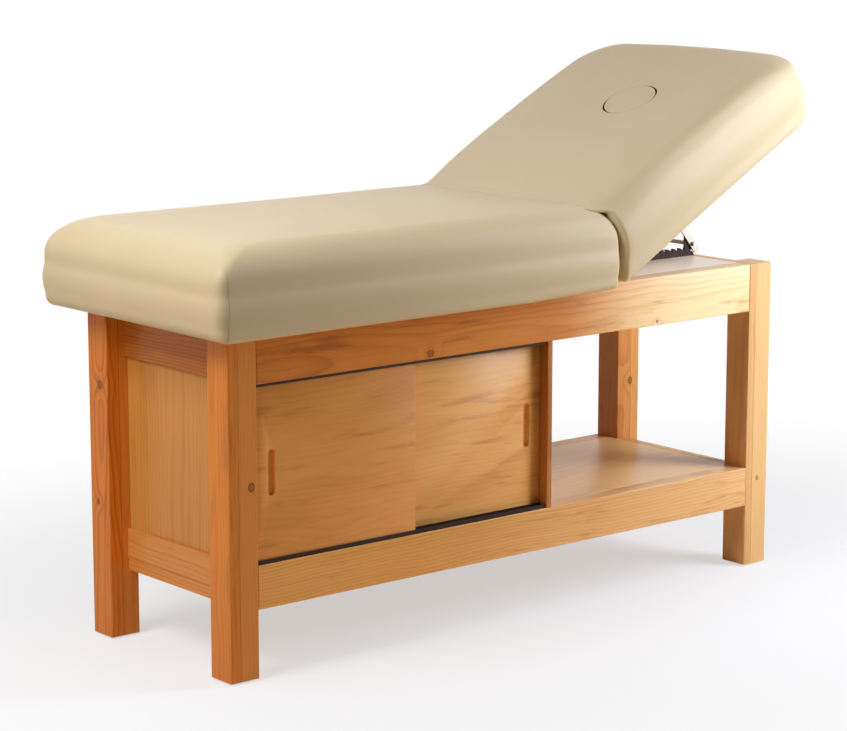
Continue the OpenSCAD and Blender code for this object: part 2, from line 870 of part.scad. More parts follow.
module back_battens() {
    color([0.8, 0.6, 0.36])
        on_back()
            translate([0, 0, batten_base]) {
                for (side = [-1, 1])
                    linear_extrude(batten_height)
                        intersection() {
                            board_outline();
                            translate([board_xa, side * (board_half - batten_width / 2) - batten_width / 2])
                                square([board_xb - board_xa, batten_width]);
                        }
                translate([board_xa, batten_width - board_half, 0])
                    cube([batten_width, 2 * board_half - 2 * batten_width, batten_height]);
                translate([board_xb - head_batten_width, batten_width - board_half, 0])
                    cube([head_batten_width, 2 * board_half - 2 * batten_width, batten_height]);
            }
}

module back_cushion() {
    color([0.87, 0.8, 0.68])
        on_back()
            polyhedron(points = [for (layer = back_layers) each layer],
                faces = concat(stack_faces(len(back_layers)), band_faces(len(back_layers) - 1, 0)));
}

// The prop bracket is a channel under the back board
ear_outer = arm_offset - bracket_ear_gap;

module prop_bracket() {
    color([0.3, 0.3, 0.32])
        on_back()
            translate([prop_pivot_distance, 0, 0])
                difference() {
                    union() {
                        translate([-bracket_length / 2, -ear_outer, board_base - bracket_plate])
                            cube([bracket_length, 2 * ear_outer, bracket_plate]);
                        for (y = [-ear_outer, ear_outer - bracket_plate])
                            across(y, bracket_plate) {
                                translate([0, pivot_level])
                                    circle(2 * pivot_pin_radius, $fn = 48);
                                translate([-2 * pivot_pin_radius, pivot_level])
                                    square([4 * pivot_pin_radius, pivot_drop]);
                            }
                    }
                    across(-ear_outer - overrun, 2 * ear_outer + 2 * overrun)
                        translate([0, pivot_level])
                            circle(pivot_pin_radius + pin_gap, $fn = 48);
                }
}

module prop_pivot_pin() {
    reach = arm_offset + prop_arm_thickness + pivot_pin_overhang;
    color([0.6, 0.6, 0.62])
        on_back()
            translate([prop_pivot_distance, -reach, pivot_level])
                rotate([-90, 0, 0])
                    cylinder(h = 2 * reach, r = pivot_pin_radius, $fn = 48);
}

module prop_arm(side) {
    color([0.75, 0.75, 0.77])
        on_prop()
            across(side * (arm_offset + prop_arm_thickness / 2) - prop_arm_thickness / 2, prop_arm_thickness)
                difference() {
                    union() {
                        translate([0, -prop_arm_width / 2])
                            square([prop_length + arm_toe, prop_arm_width]);
                        for (x = [0, prop_length + arm_toe])
                            translate([x, 0])
                                circle(prop_arm_width / 2, $fn = 48);
                    }
                    circle(pivot_pin_radius + pin_gap, $fn = 48);
                    translate([prop_length, 0])
                        circle(foot_rod_radius + pin_gap, $fn = 48);
                }
}

module prop_foot_rod() {
    reach = rack_offset + rack_thickness / 2 + foot_rod_overhang;
    color([0.6, 0.6, 0.62])
        on_prop()
            translate([prop_length, -reach, 0])
                rotate([-90, 0, 0])
                    cylinder(h = 2 * reach, r = foot_rod_radius, $fn = 48);
}

// Triangular stiffening plates on the inner faces of the arms
module prop_web_plates() {
    color([0.12, 0.1, 0.09])
        on_prop()
            for (side = [-1, 1])
                across(side * (arm_offset - web_thickness / 2) - web_thickness / 2, web_thickness)
                    difference() {
                        polygon([[prop_length - web_run, 0], [prop_length - web_step, -web_reach],
                            [prop_length + arm_toe - web_step, -web_step]]);
                        translate([prop_length, 0])
                            circle(foot_rod_radius + pin_gap, $fn = 48);
                    }
}

// The removable plug sits in the face hole on its own board
plug_radius = face_hole_diameter / 2 - plug_gap;
plug_base = board_top + seat_gap;

module plug_board() {
    color([0.82, 0.66, 0.45])
        on_back()
            translate([face_hole_distance, 0, plug_base])
                cylinder(h = plug_board_thickness, r = plug_radius - plug_board_inset, $fn = 72);
}

module face_hole_plug() {
    height = total_thickness + back_rise - plug_base;
    color([0.87, 0.8, 0.68])
        on_back()
            translate([face_hole_distance, 0, plug_base])
                difference() {
                    rotate_extrude($fn = 72) {
                        square([plug_radius, height - plug_edge_radius]);
                        square([plug_radius - plug_edge_radius, height]);
                        translate([plug_radius - plug_edge_radius, height - plug_edge_radius])
                            circle(plug_edge_radius, $fn = 24);
                    }
                    translate([0, 0, -overrun])
                        cylinder(h = plug_board_thickness + seat_gap + overrun,
                            r = plug_radius - plug_board_inset + seat_gap, $fn = 72);
                }
}

at_leg(false, false) leg(true, false);  // leg_front_foot
at_leg(false, true) leg(true, true);  // leg_back_foot
at_leg(true, false) leg(false, false);  // leg_front_head
at_leg(true, true) leg(false, false);  // leg_back_head
front_top_rail();
back_top_rail();
foot_top_rail();
head_top_rail();
front_lower_rail();
back_lower_rail();
foot_lower_rail();
head_lower_rail();
hinge_cross_rail();
foot_end_panel();
cabinet_back_panel();
partition_panel();
bottom_shelf();
shelf_cleats();
head_deck();
deck_cleats();
foot_board();
foot_cushion();
upper_door_track();
lower_door_track();
rack(-1);  // rack_front
rack(1);  // rack_back
hinge_leaves_fixed();
hinge_pins();
foot_glides();
left_door();
right_door();
back_board();
back_battens();
back_cushion();
hinge_leaves_moving();
prop_bracket();
prop_pivot_pin();
prop_arm(-1);  // prop_arm_front
prop_arm(1);  // prop_arm_back
prop_foot_rod();
prop_web_plates();
face_hole_plug();
plug_board();
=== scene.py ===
import math
import bmesh
import bpy
import json
import numpy as np
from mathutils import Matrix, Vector
from mathutils.bvhtree import BVHTree


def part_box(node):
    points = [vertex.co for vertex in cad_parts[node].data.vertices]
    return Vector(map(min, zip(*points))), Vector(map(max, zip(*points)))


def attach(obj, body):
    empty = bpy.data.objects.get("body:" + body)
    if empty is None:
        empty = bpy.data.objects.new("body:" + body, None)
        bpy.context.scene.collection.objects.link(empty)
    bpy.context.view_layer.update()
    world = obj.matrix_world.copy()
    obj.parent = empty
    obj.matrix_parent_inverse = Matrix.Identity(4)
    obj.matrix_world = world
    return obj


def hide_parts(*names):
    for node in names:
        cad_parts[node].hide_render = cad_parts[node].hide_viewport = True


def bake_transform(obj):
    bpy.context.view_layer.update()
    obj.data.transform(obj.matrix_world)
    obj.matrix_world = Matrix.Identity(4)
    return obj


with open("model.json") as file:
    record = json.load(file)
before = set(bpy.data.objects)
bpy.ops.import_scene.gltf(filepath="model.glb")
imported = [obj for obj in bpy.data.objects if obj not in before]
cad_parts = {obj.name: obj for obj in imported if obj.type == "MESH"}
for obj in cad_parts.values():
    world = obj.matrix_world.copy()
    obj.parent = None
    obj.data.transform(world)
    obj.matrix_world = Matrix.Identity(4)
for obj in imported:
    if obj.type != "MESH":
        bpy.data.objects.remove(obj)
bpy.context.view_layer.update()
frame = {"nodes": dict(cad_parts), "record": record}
nodes = frame["nodes"]
scene = bpy.context.scene
corner = Vector(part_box("leg_front_foot")[0])  # outer corner of the front foot end leg on the floor
millimetre = 0.001
middleY = 257.5  # middle of the bed's width, from that corner
frameTop = 732.0


# Millimetres from the corner to metres in the shared frame
def place(x, y, z):
    return Vector((corner.x + x * millimetre, corner.y + y * millimetre, z * millimetre))


# One coordinate of place
def placeOn(axis, at):
    return place(at, at, at)[axis]


def unit(value):
    return min(1.0, max(0.0, value))


# Camera, fitted to the frame's edges in the photo
cameraSpec = {
    "lens": 113.74, "sensor": 36.0, "reach": 60,
    "at": (-3057.7, -4306.1, 1643.7), "down": 10.488, "turn": -39.645,
}
cameraData = bpy.data.cameras.new("camera")
cameraData.lens = cameraSpec["lens"]
cameraData.sensor_width = cameraSpec["sensor"]
cameraData.sensor_fit = "HORIZONTAL"
cameraData.clip_end = cameraSpec["reach"]
camera = bpy.data.objects.new("camera", cameraData)
camera.location = place(*cameraSpec["at"])
camera.rotation_euler = (
    math.radians(90 - cameraSpec["down"]), 0, math.radians(cameraSpec["turn"]))
scene.collection.objects.link(camera)
scene.camera = camera
scene.view_settings.view_transform = "Standard"

# Lights: where they hang and what they point at in metres, size, power and tint
warmTint = (1.0, 0.99, 0.97)
coolTint = (0.92, 0.985, 1.14)
lightSpecs = {
    "head_near": {"at": (1.5, -1.3, 1.1), "aim": (0.75, -0.2, 0.75), "size": 0.7,
                  "watts": 19.5, "tint": coolTint},
    "head_high": {"at": (1.5, -1.2, 2.0), "aim": (0.6, -0.2, 0.8), "size": 0.8,
                  "watts": 14, "tint": coolTint},
    "foot_over": {"at": (-1.0, 0.2, 2.8), "aim": (-0.5, 0.0, 0.9), "size": 1.4,
                  "watts": 14, "tint": warmTint},
    "head_low": {"at": (1.6, -1.6, 0.5), "aim": (0.75, -0.2, 0.6), "size": 0.8,
                 "watts": 3, "tint": warmTint},
    "foot_end": {"at": (-3.2, -0.2, 1.8), "aim": (-0.8, 0.0, 0.7), "size": 1.3,
                 "watts": 8, "tint": (0.93, 0.98, 1.12)},
    "foot_high": {"at": (-2.4, -0.3, 2.5), "aim": (-0.8, 0.0, 0.7), "size": 1.1,
                  "watts": 47, "tint": (0.99, 0.985, 1.01)},
    "over_back": {"at": (0.4, 2.0, 2.7), "aim": (0.0, 0.0, 0.8), "size": 1.8,
                  "watts": 6, "tint": warmTint},
}
for lightName, spec in lightSpecs.items():
    data = bpy.data.lights.new(lightName, "AREA")
    data.shape = "RECTANGLE"
    data.size = data.size_y = spec["size"]
    data.energy = spec["watts"]
    data.color = spec["tint"]
    lamp = bpy.data.objects.new(lightName, data)
    lamp.location = spec["at"]
    towards = Vector(spec["aim"]) - Vector(spec["at"])
    lamp.rotation_euler = towards.to_track_quat("-Z", "Y").to_euler()
    scene.collection.objects.link(lamp)
print("camera and lights made")


# Shader maths on sockets
class Expr:
    def __init__(self, graph, socket):
        self.graph = graph
        self.socket = socket

    def math(self, kind, *others):
        made = self.graph.node("ShaderNodeMath", {"operation": kind},
                               dict(enumerate((self,) + others)))
        return Expr(self.graph, made.outputs[0])

    def __add__(self, other): return self.math("ADD", other)
    def __radd__(self, other): return self.math("ADD", other)
    def __sub__(self, other): return self.math("SUBTRACT", other)
    def __rsub__(self, other): return self.math("MULTIPLY", -1.0).math("ADD", other)
    def __mul__(self, other): return self.math("MULTIPLY", other)
    def __rmul__(self, other): return self.math("MULTIPLY", other)
    def __truediv__(self, other): return self.math("DIVIDE", other)

    def clamp(self):
        return self.math("MAXIMUM", 0.0).math("MINIMUM", 1.0)

    # 0 below low, 1 above high and smooth between them
    def step(self, low, high):
        made = self.graph.node("ShaderNodeMapRange", {"interpolation_type": "SMOOTHSTEP"},
                               {"Value": self, "From Min": low, "From Max": high})
        return Expr(self.graph, made.outputs["Result"])


# A node tree. Every node comes from its node method, which takes the settings and then the
# values or links of the sockets, by their names or numbers
class Graph:
    def __init__(self, tree):
        self.tree = tree

    def node(self, kind, settings=None, sockets=None):
        made = self.tree.nodes.new(kind)
        for label, value in (settings or {}).items():
            setattr(made, label, value)
        for label, value in (sockets or {}).items():
            self.feed(made.inputs[label], value)
        return made

    def feed(self, socket, value):
        if isinstance(value, Expr):
            value = value.socket
        if hasattr(value, "is_output"):
            self.tree.links.new(value, socket)
        else:
            socket.default_value = value

    # 1 for what the camera sees, straight or by one of the other kinds of ray
    def seenBy(self, *kinds):
        paths = self.node("ShaderNodeLightPath")
        seen = Expr(self, paths.outputs["Is Camera Ray"])
        for kind in kinds:
            seen = seen.math("MAXIMUM", Expr(self, paths.outputs[kind]))
        return seen


# A material with one Principled shader, and short ways to add what feeds it
class Surface(Graph):
    def __init__(self, name, finish):
        self.material = bpy.data.materials.new(name)
        self.material.use_nodes = True
        super().__init__(self.material.node_tree)
        self.shader = self.tree.nodes["Principled BSDF"]
        for label, value in finish.items():
            self.use(label, value)

    def use(self, label, value):
        self.feed(self.shader.inputs[label], value)

    def coords(self):
        return self.node("ShaderNodeTexCoord").outputs["Object"]

    def axes(self):
        split = self.node("ShaderNodeSeparateXYZ", None, {"Vector": self.coords()})
        return [Expr(self, split.outputs[i]) for i in range(3)]

    def vector(self, x, y, z):
        return self.node("ShaderNodeCombineXYZ", None, {"X": x, "Y": y, "Z": z}).outputs[0]

    def noise(self, vector, scale=1.0, detail=2.0, rough=0.5):
        made = self.node("ShaderNodeTexNoise", None, {
            "Vector": vector, "Scale": scale, "Detail": detail, "Roughness": rough})
        return Expr(self, made.outputs[0])

    def blendColour(self, share, first, second):
        made = self.node("ShaderNodeMix", {"data_type": "RGBA", "blend_type": "MIX"},
                         {0: share, 6: first, 7: second})
        return made.outputs[2]

    def bump(self, height, strength, distance):
        made = self.node("ShaderNodeBump", None, {
            "Height": height, "Strength": strength, "Distance": distance})
        self.use("Normal", made.outputs[0])


def srgb(red, green, blue):
    def lin(v):
        v = v / 255
        return v / 12.92 if v <= 0.04045 else ((v + 0.055) / 1.055) ** 2.4
    return (lin(red), lin(green), lin(blue), 1.0)


def shade(tone, times, plus=0):
    return srgb(*[c * times + plus for c in tone])


def rootOfSquares(*parts):
    total = parts[0] * parts[0]
    for part in parts[1:]:
        total = total + part * part
    return total.math("SQRT")


def larger(first, second):
    return second if first is None else first.math("MAXIMUM", second)


# A knot's parts as shares of its radius, and how far the rings swirl round it
knotLook = {
    "squash": 0.85, "wobble": 0.006, "swirlReach": 3.2, "swirlBy": 1.5,
    "edge": (0.75, 1.05), "rim": (0.5, 0.78), "heart": 0.3, "heartShare": 0.8,
    "coreShade": 0.8, "coreShare": 0.6, "rimTone": (74, 30, 10), "rimShare": 0.85,
}


# How the knots push the rings, a mask of the knots, and one of their dark rims and hearts
def knotFields(axes, grain, knots, ripple):
    swirl = coreMask = rimMask = None
    for x, y, z, radius in knots:
        at = place(x, y, z)
        size = radius * millimetre
        offsets = [axes[i] - at[i] for i in range(3)]
        offsets[grain] = offsets[grain] * knotLook["squash"]
        distance = rootOfSquares(*offsets)
        wobble = distance + ripple * knotLook["wobble"]
        fade = distance * distance * (-1.0 / (size * knotLook["swirlReach"]) ** 2)
        push = fade.math("EXPONENT") * (size * knotLook["swirlBy"])
        core = 1.0 - wobble.step(*[size * share for share in knotLook["edge"]])
        rim = wobble.step(*[size * share for share in knotLook["rim"]]) * core
        heart = 1.0 - wobble.step(0.0, size * knotLook["heart"])
        swirl = push if swirl is None else swirl + push
        coreMask = larger(coreMask, core)
        rimMask = larger(rimMask, rim.math("MAXIMUM", heart * knotLook["heartShare"]))
    return swirl, coreMask, rimMask


# Lacquered pine. A noise is (scale along the grain, scale across it, detail, roughness), and
# its scales are per metre, as they are in the other looks
pineLook = {
    "finish": {"Roughness": 0.42, "Coat Weight": 0.04, "Coat Roughness": 0.3,
               "Specular IOR Level": 0.22},
    "bend": (1.3, 5.0, 2.0, 0.5), "bendTwo": (1.7, 4.0, 2.0, 0.5), "bendBy": 0.07,
    "ripple": (7.0, 40.0, 3.0, 0.5), "rippleBy": 0.004,
    "late": (0.35, 0.93), "ringJump": 3.7, "ringTone": (0.9, 0.2),
    "fibres": (22.0, 1100.0, 2.0, 0.5), "fibreFrom": 0.35, "fibreShare": 0.35,
    "fibreShade": 0.8,
    "streaks": (3.0, 160.0, 3.0, 0.6), "streakShare": 0.55,
    "clouds": (2.0, 7.0, 2.0, 0.5), "cloudShare": 0.6, "darkShare": 0.12,
    "flames": (5.0, 45.0, 4.0, 0.62), "flameSwing": 3.0, "flameEdge": (0.54, 0.72),
    "flameShade": (0.8, 0.66, 0.5),
    "boardEdge": 0.0004, "boardShare": 0.5,
    "glueLine": (0.0002, 0.0011), "glueShare": 0.55, "glueShade": 0.62,
    "rough": (0.16, 0.28), "bump": (0.25, 0.0004),
}


# Growth rings lie about the heart line, which runs along the grain through a point in
# millimetres. Knots are (x, y, z, radius), a seam is (axis, where, tone of the board beyond it),
# and the run of painted light is (start, end, light, dark) along the grain: painted light that
# turns the tones lighter towards the end the head lamps light
def pine(name, along, heart, seed, light=(222, 152, 80), dark=(182, 104, 40), spacing=7.0,
         warp=1.0, knots=(), seam=None, patch=0.0, ring=0.6, paintedLightRun=None, flames=0.0):
    look = pineLook
    made = Surface(name, look["finish"])
    axes = made.axes()
    grain = "XYZ".index(along)
    cross = [i for i in range(3) if i != grain]
    run = axes[grain]

    def field(label, shift=0.0, swing=0.0):
        lengthwise, sideways, detail, rough = look[label]
        at = made.vector(run * lengthwise + shift, axes[cross[0]] * sideways + swing,
                         axes[cross[1]] * sideways)
        return made.noise(at, 1.0, detail, rough)

    bend = field("bend", seed) - 0.5
    bendTwo = field("bendTwo", seed * 2.3 + 7.0) - 0.5
    ripple = field("ripple", seed) - 0.5
    centre = place(*heart)
    bendBy = look["bendBy"] * warp
    first = axes[cross[0]] - centre[cross[0]] + bend * bendBy + ripple * look["rippleBy"]
    second = axes[cross[1]] - centre[cross[1]] + bendTwo * bendBy
    radius = rootOfSquares(first, second)
    swirl, knotMask, rimMask = knotFields(axes, grain, knots, ripple)
    if swirl is not None:
        radius = radius + swirl
    turns = radius / (spacing * millimetre)
    phase = turns.math("FRACT")
    late = phase.step(*look["late"]) * (1.0 - phase.step(look["late"][1], 1.0))
    ringTone = made.noise(made.vector(turns.math("FLOOR") * look["ringJump"], seed, 0.0), 1.0, 0.0)
    fibres = field("fibres")
    streaks = field("streaks", seed)
    cloud = field("clouds", seed)
    share = late * (ringTone * look["ringTone"][0] + look["ringTone"][1]) * ring
    share = share + (streaks - 0.5) * look["streakShare"]
    share = share + (cloud - 0.5) * (look["cloudShare"] + patch) + look["darkShare"]
    share = share.clamp()
    colour = made.blendColour(share, srgb(*light), srgb(*dark))
    # Painted light: over the run, the tones turn lighter along the grain towards the end the head
    # lamps light most
    if paintedLightRun is not None:
        start, end, litEndLight, litEndDark = paintedLightRun
        far = (run - placeOn(grain, start)) / ((end - start) * millimetre)
        litEndColour = made.blendColour(share, srgb(*litEndLight), srgb(*litEndDark))
        colour = made.blendColour(far.step(0.0, 1.0), colour, litEndColour)
    fibreMask = (fibres - look["fibreFrom"]).clamp() * look["fibreShare"]
    colour = made.blendColour(fibreMask, colour, shade(dark, look["fibreShade"]))
    if flames > 0:
        lick = field("flames", seed * 1.7, bend * look["flameSwing"])
        burnt = srgb(*[c * times for c, times in zip(dark, look["flameShade"])])
        colour = made.blendColour(lick.step(*look["flameEdge"]) * flames, colour, burnt)
    if seam is not None:
        axis, at, tone = seam
        beyond = axes["XYZ".index(axis)] - placeOn("XYZ".index(axis), at)
        board = beyond.step(-look["boardEdge"], look["boardEdge"])
        colour = made.blendColour(board * look["boardShare"], colour, srgb(*tone))
        glue = 1.0 - beyond.math("ABSOLUTE").step(*look["glueLine"])
        colour = made.blendColour(glue * look["glueShare"], colour, shade(dark, look["glueShade"]))
    if knotMask is not None:
        colour = made.blendColour(knotMask * knotLook["coreShare"], colour,
                                  shade(dark, knotLook["coreShade"]))
        colour = made.blendColour(rimMask * knotLook["rimShare"], colour,
                                  srgb(*knotLook["rimTone"]))
    made.use("Base Color", colour)
    made.use("Roughness", streaks * look["rough"][0] + look["rough"][1])
    made.bump(late * 0.5 + fibres * 0.5, *look["bump"])
    return made.material


# Cream coated upholstery: a fine pebble, faint mottling and a soft gloss. A noise is (scale,
# detail, roughness) from here on, and lengths are in metres
coverLook = {
    "finish": {"Roughness": 0.42, "Coat Weight": 0.05, "Coat Roughness": 0.3,
               "Specular IOR Level": 0.26},
    "tone": (212, 192, 152),
    "pebble": 900.0, "pebbleHigh": 2.0, "grain": (320.0, 3.0, 0.6), "grainHigh": 0.35,
    "clouds": (5.0, 3.0, 0.5), "cloudFrom": 0.35, "cloudShare": 0.5, "cloudShade": 0.94,
    "wear": (38.0, 4.0, 0.6), "wearFrom": 0.45, "wearShare": 0.25, "wearShade": 0.92,
    "seamWidth": (0.0003, 0.0016), "seamDepth": (0.03, 0.05), "seamTop": (0.85, 0.878),
    "seamShare": 0.5, "seamShade": 0.62, "seamHigh": -6.0,
    "grainRough": 0.12, "wearRough": 0.1, "rough": 0.32, "bump": (0.18, 0.0003),
}


# Each seam is (x, y, turn): a point on a corner in millimetres and the way its line faces
def coatedCover(name, seams=()):
    look = coverLook
    made = Surface(name, look["finish"])
    coords = made.coords()
    cells = made.node("ShaderNodeTexVoronoi", {"feature": "DISTANCE_TO_EDGE"},
                      {"Vector": coords, "Scale": look["pebble"]})
    pebble = Expr(made, cells.outputs["Distance"])
    grain = made.noise(coords, *look["grain"])
    cloud = made.noise(coords, *look["clouds"])
    wear = made.noise(coords, *look["wear"])
    mottled = (cloud - look["cloudFrom"]).clamp() * look["cloudShare"]
    worn = (wear - look["wearFrom"]).clamp() * look["wearShare"]
    colour = made.blendColour(mottled, srgb(*look["tone"]), shade(look["tone"], look["cloudShade"]))
    colour = made.blendColour(worn, colour, shade(look["tone"], look["wearShade"]))
    dip = None
    axes = made.axes()
    for x, y, turn in seams:
        at = place(x, y, 0)
        facing = (math.cos(math.radians(turn)), math.sin(math.radians(turn)))
        east, north = axes[0] - at.x, axes[1] - at.y
        sideways = (east * -facing[1] + north * facing[0]).math("ABSOLUTE")
        inward = (east * facing[0] + north * facing[1]).math("ABSOLUTE")
        line = 1.0 - sideways.step(*look["seamWidth"])
        line = line * (1.0 - inward.step(*look["seamDepth"]))
        dip = larger(dip, line * (1.0 - axes[2].step(*look["seamTop"])))
    height = pebble * look["pebbleHigh"] + grain * look["grainHigh"]
    if dip is not None:
        colour = made.blendColour(dip * look["seamShare"], colour,
                                  shade(look["tone"], look["seamShade"]))
        height = height + dip * look["seamHigh"]
    made.use("Base Color", colour)
    made.use("Roughness", grain * look["grainRough"] + wear * look["wearRough"] + look["rough"])
    made.bump(height, *look["bump"])
    return made.material


# Plain brown plastic, dusty in places
plasticLook = {
    "sheen": 0.2, "grain": (700.0, 2.0, 0.5), "grainRough": 0.15, "dust": (30.0, 4.0, 0.5),
    "dustFrom": 0.4, "dustShare": 0.5, "dustTimes": 1.35, "dustPlus": 6, "bump": (0.12, 0.0002),
}


def plastic(name, tone, rough):
    look = plasticLook
    made = Surface(name, {"Roughness": rough, "Specular IOR Level": look["sheen"]})
    coords = made.coords()
    grain = made.noise(coords, *look["grain"])
    dust = made.noise(coords, *look["dust"])
    dusty = (dust - look["dustFrom"]).clamp() * look["dustShare"]
    made.use("Base Color", made.blendColour(
        dusty, srgb(*tone), shade(tone, look["dustTimes"], look["dustPlus"])))
    made.use("Roughness", grain * look["grainRough"] + rough)
    made.bump(grain, *look["bump"])
    return made.material


# Steel brushed along one axis, with duller spots
steelLook = {
    "brushLong": 12, "brushCross": 900, "brush": (1.0, 3.0, 0.5), "brushRough": 0.18,
    "spots": (60.0, 4.0, 0.65), "spotFrom": 0.45, "spotShade": 0.72, "spotRough": 0.12,
    "roughLess": 0.1, "bump": (0.1, 0.0002),
}


def steel(name, tone, rough, along):
    look = steelLook
    made = Surface(name, {"Metallic": 1.0, "Roughness": rough})
    scales = [look["brushLong"] if axis == along else look["brushCross"] for axis in "XYZ"]
    stretched = [a * s for a, s in zip(made.axes(), scales)]
    brushed = made.noise(made.vector(*stretched), *look["brush"])
    spots = made.noise(made.coords(), *look["spots"])
    made.use("Base Color", made.blendColour(
        (spots - look["spotFrom"]).clamp(), srgb(*tone), shade(tone, look["spotShade"])))
    made.use("Roughness", brushed * look["brushRough"] + spots * look["spotRough"]
             + rough - look["roughLess"])
    made.bump(brushed, *look["bump"])
    return made.material


# Dark paint, chipped to the metal in small spots
paintLook = {
    "finish": {"Roughness": 0.55, "Specular IOR Level": 0.2},
    "chips": (220.0, 4.0, 0.7), "chipEdge": (0.66, 0.72), "bareShare": 0.6,
    "bareTone": (126, 110, 92),
    "bareMetal": 0.7, "chipRough": 0.25, "rough": 0.38, "bump": (0.2, 0.0003),
}


def darkPaint(name, tone):
    look = paintLook
    made = Surface(name, look["finish"])
    chips = made.noise(made.coords(), *look["chips"])
    bare = chips.step(*look["chipEdge"])
    made.use("Base Color", made.blendColour(
        bare * look["bareShare"], srgb(*tone), srgb(*look["bareTone"])))
    made.use("Metallic", bare * look["bareMetal"])
    made.use("Roughness", chips * look["chipRough"] + look["rough"])
    made.bump(chips, *look["bump"])
    return made.material


# Wood, with the knots and tones the photo shows
# Painted light: the head-end boards take lighter tones where the head lamps fall on them
headLitTones = {"light": (236, 182, 112), "dark": (206, 142, 74)}
boardTones = {"light": (206, 161, 105), "dark": (178, 130, 77)}
woods = {
    # Painted shade: darker, more saturated tones for the foot-end legs, away from the head lamps
    "leg_front_foot": pine(
        "legFrontFootWood", "Z", (-30, 60, 0), 3.1, spacing=8.0, knots=[(56, 0, 410, 9)],
        ring=0.45, seam=("X", 25, (226, 152, 74)), light=(226, 138, 46), dark=(184, 92, 26),
        flames=0.3),
    # Painted shade: darker, more saturated tones away from the head lamps
    "leg_back_foot": pine(
        "legBackFootWood", "Z", (30, 470, 0), 9.4, spacing=8.0, light=(228, 134, 38),
        dark=(176, 84, 18), knots=[(0, 470, 560, 8), (0, 486, 300, 6)],
        seam=("X", 30, (218, 144, 66)), flames=0.3),
    # Painted light: lighter tones, and a lighter seam board, where the head lamps fall on this leg
    "leg_front_head": pine(
        "legFrontHeadWood", "Z", (1640, 50, 0), 12.7, spacing=9.0, light=(233, 184, 124),
        dark=(204, 144, 84), knots=[(1548, 0, 212, 5)], seam=("X", 1530, (242, 202, 142)),
        ring=0.4, flames=0.25),
    "leg_back_head": pine(
        "legBackHeadWood", "Z", (1500, 600, 0), 15.9, spacing=8.0, knots=[(1550, 443, 385, 8)],
        seam=("X", 1552, (226, 170, 96)), flames=0.3),
    # Painted shade and painted light: dark, saturated tones where the foot cushion shades this rail,
    # turning lighter towards the lit head end
    "front_top_rail": pine(
        "frontTopRailWood", "X", (0, 70, 640), 21.3, spacing=8.0,
        knots=[(530, 0, 632, 8), (1204, 0, 629, 4)], ring=0.5, light=(222, 137, 43),
        dark=(174, 89, 24), paintedLightRun=(840, 1290, (255, 226, 172), (232, 184, 118)), flames=0.5),
    "back_top_rail": pine("backTopRailWood", "X", (0, 560, 690), 25.1, spacing=8.0),
    # Painted shade: darker tones for the rail under the foot cushion's overhang
    "foot_top_rail": pine("footTopRailWood", "Y", (80, 0, 700), 27.7, light=(206, 126, 53),
                          dark=(158, 81, 28)),
    # Painted light: lighter head-end tones
    "head_top_rail": pine("headTopRailWood", "Y", (1490, 0, 650), 29.9, **headLitTones),
    # Painted light: this rail's tones are raised, and turn lighter and less saturated towards the
    # lit head end
    "front_lower_rail": pine(
        "frontLowerRailWood", "X", (0, 30, 120), 33.3, spacing=7.0, light=(250, 184, 100),
        dark=(212, 134, 58), ring=0.6, paintedLightRun=(400, 1500, (246, 200, 140), (218, 160, 94)),
        flames=0.35),
    "back_lower_rail": pine("backLowerRailWood", "X", (0, 540, 200), 37.1, spacing=8.0),
    "foot_lower_rail": pine("footLowerRailWood", "Y", (75, 0, 230), 39.3, light=(228, 152, 74),
                            dark=(186, 108, 40)),
    # Painted light: lighter head-end tones
    "head_lower_rail": pine("headLowerRailWood", "Y", (1490, 0, 200), 41.7, **headLitTones),
    "hinge_cross_rail": pine("hingeRailWood", "Y", (1040, 0, 600), 43.9),
    "foot_end_panel": pine(
        "footEndPanelWood", "Z", (120, 260, 0), 47.3, spacing=9.0, light=(214, 150, 71),
        dark=(182, 110, 41), patch=0.2, ring=0.4, flames=0.12),
    "cabinet_back_panel": pine("cabinetBackWood", "X", (0, 600, 430), 49.1, spacing=9.0,
                               light=(216, 151, 81), dark=(184, 114, 52)),
    "partition_panel": pine("partitionWood", "Z", (900, 200, 0), 53.9, spacing=9.0,
                            light=(196, 124, 57), dark=(158, 89, 35)),
    "bottom_shelf": pine(
        "bottomShelfWood", "X", (0, 240, 150), 57.7, spacing=10.0, light=(246, 200, 138),
        dark=(222, 161, 94), patch=0.2, ring=0.4, flames=0.15),
    "shelf_cleats": pine("shelfCleatWood", "X", (0, 60, 180), 59.3),
    # Painted light: near-white tones stand in for the strong light on the deck
    "head_deck": pine("headDeckWood", "X", (0, 240, 640), 61.1, spacing=11.0,
                      light=(255, 246, 226), dark=(250, 226, 190), ring=0.25, flames=0.05),
    "deck_cleats": pine("deckCleatWood", "X", (0, 60, 680), 63.7),
    "foot_board": pine("footBoardWood", "X", (0, 240, 660), 67.3, **boardTones),
    "left_door": pine(
        "leftDoorWood", "X", (280, 84, 420), 71.9, spacing=9.0, warp=1.7, light=(238, 166, 86),
        dark=(206, 126, 54), patch=0.9, ring=0.22, flames=0.4),
    "right_door": pine(
        "rightDoorWood", "X", (660, 100, 470), 75.3, spacing=9.0, warp=1.7, light=(248, 184, 104),
        dark=(214, 144, 70), patch=0.9, ring=0.22, flames=0.4),
    "back_board": pine("backBoardWood", "X", (1300, 240, 1400), 79.1, **boardTones),
    "back_battens": pine("backBattenWood", "X", (1300, 240, 1300), 83.3, light=(214, 155, 88),
                         dark=(184, 118, 57)),
    "plug_board": pine("plugBoardWood", "X", (1400, 240, 1000), 87.7, **boardTones),
}
coverMaterial = coatedCover("creamCover")
